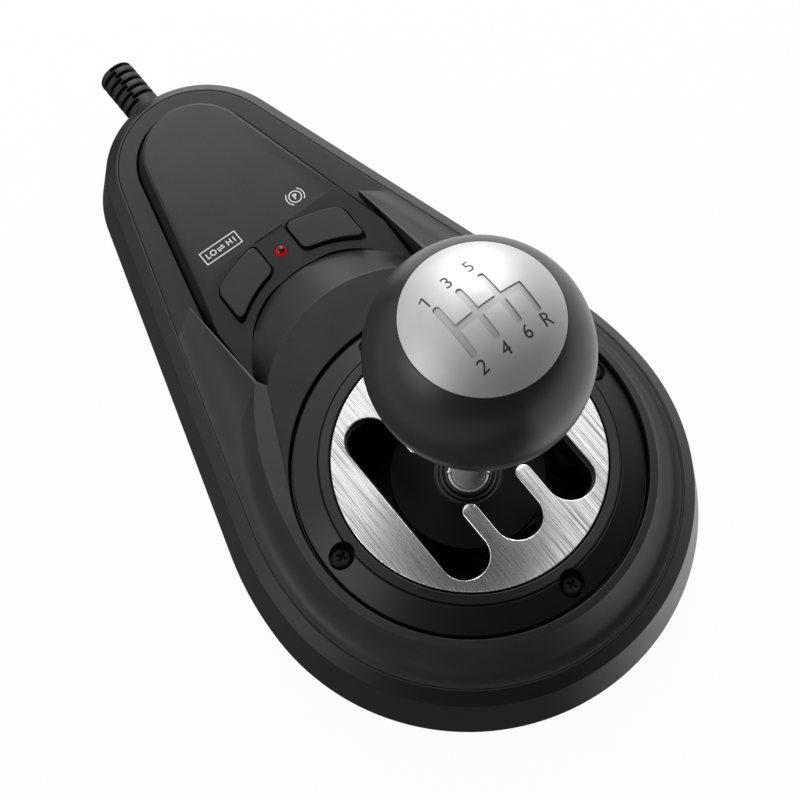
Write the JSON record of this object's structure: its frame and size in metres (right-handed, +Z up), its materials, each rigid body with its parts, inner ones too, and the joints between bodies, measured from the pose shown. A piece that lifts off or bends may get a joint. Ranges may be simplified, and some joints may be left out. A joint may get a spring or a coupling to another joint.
{
  "type": "sim racing gear shifter",
  "caption": "Desktop H-pattern gear shifter for driving games: a ball-knob lever in a slotted metal gate on a teardrop base, with deck push buttons and a cable sleeve.",
  "frame": {"origin": "centre of the bounding box in plan, on the table plane under the rubber feet", "axes": "+X to the driver's right, +Y away from the driver towards the cable sleeve, +Z up along the lever"},
  "size_m": [0.117, 0.2106, 0.1309],
  "materials": {
    "skirt_plastic": "fine moulded texture, near black",
    "housing_plastic": "fine moulded texture, charcoal",
    "deck_plastic": "fine moulded texture, charcoal grey",
    "bezel_plastic": "satin black",
    "button_plastic": "satin charcoal",
    "knob_plastic": "soft satin black",
    "black_rubber": "matte",
    "brushed_aluminium": "brushed along the lanes",
    "cap_aluminium": "fine satin",
    "polished_steel": "polished",
    "zinc_steel": "zinc plated",
    "spring_steel": "drawn wire",
    "bracket_coat": "black coated die casting",
    "black_screw": "black oxide",
    "brass": "turned",
    "circuit_board": "green solder mask",
    "chip_plastic": "moulded component packages",
    "red_lens": "tinted clear lens"
  },
  "bodies": {
    "housing": {"skirt_shell": "skirt_plastic", "upper_housing": "housing_plastic", "deck_panel": "deck_plastic", "bottom_tray": "skirt_plastic", "rubber_feet": "black_rubber", "tray_screws": "zinc_steel", "threaded_inserts": "brass", "bezel_ring": "bezel_plastic", "bezel_screws": "black_screw", "gate_plate": "brushed_aluminium", "gate_frame": "bezel_plastic", "front_bracket": "bracket_coat", "rear_bracket": "bracket_coat", "bracket_screws": "black_screw", "select_springs": "spring_steel", "button_board": "circuit_board", "tact_switches": "chip_plastic", "button_board_screws": "zinc_steel", "indicator_light": "red_lens", "main_board": "circuit_board", "board_parts": "chip_plastic", "board_screws": "zinc_steel", "sensor_board": "circuit_board", "sensor_chip": "chip_plastic", "strain_relief": "black_rubber"},
    "yoke": {"select_yoke": "bracket_coat", "select_pins": "zinc_steel", "shift_axle": "zinc_steel", "detent_balls": "polished_steel", "detent_springs": "spring_steel"},
    "lever": {"lever_block": "bezel_plastic", "lever_magnet": "zinc_steel", "dust_plate": "bezel_plastic", "press_spring": "spring_steel"},
    "stem": {"shift_stem": "polished_steel", "knob_insert": "brass", "knob_body": "knob_plastic", "knob_cap": "cap_aluminium"},
    "range_key": {"range_button": "button_plastic"},
    "brake_key": {"brake_button": "button_plastic"}
  },
  "joints": [
    {"name": "select_tilt", "type": "hinge", "parent": "housing", "child": "yoke", "pos_m": [0, -0.04675, 0.013], "axis": [0, 1, 0], "range_deg": [-28.5, 28.5], "stiffness_Nm_per_rad": 0.8},
    {"name": "shift_tilt", "type": "hinge", "parent": "yoke", "child": "lever", "pos_m": [0, -0.04675, 0.013], "axis": [1, 0, 0], "range_deg": [-28, 28]},
    {"name": "knob_press", "type": "slide", "parent": "lever", "child": "stem", "axis": [0, 0, 1], "range_m": [-0.004, 0], "stiffness_N_per_m": 2000, "springref_m": 0.003, "deforming": ["press_spring"]},
    {"name": "range_press", "type": "slide", "parent": "housing", "child": "range_key", "axis": [0, 0, 1], "range_m": [-0.0008, 0], "stiffness_N_per_m": 600, "springref_m": 0.001},
    {"name": "brake_press", "type": "slide", "parent": "housing", "child": "brake_key", "axis": [0, 0, 1], "range_m": [-0.0008, 0], "stiffness_N_per_m": 600, "springref_m": 0.001}
  ]
}
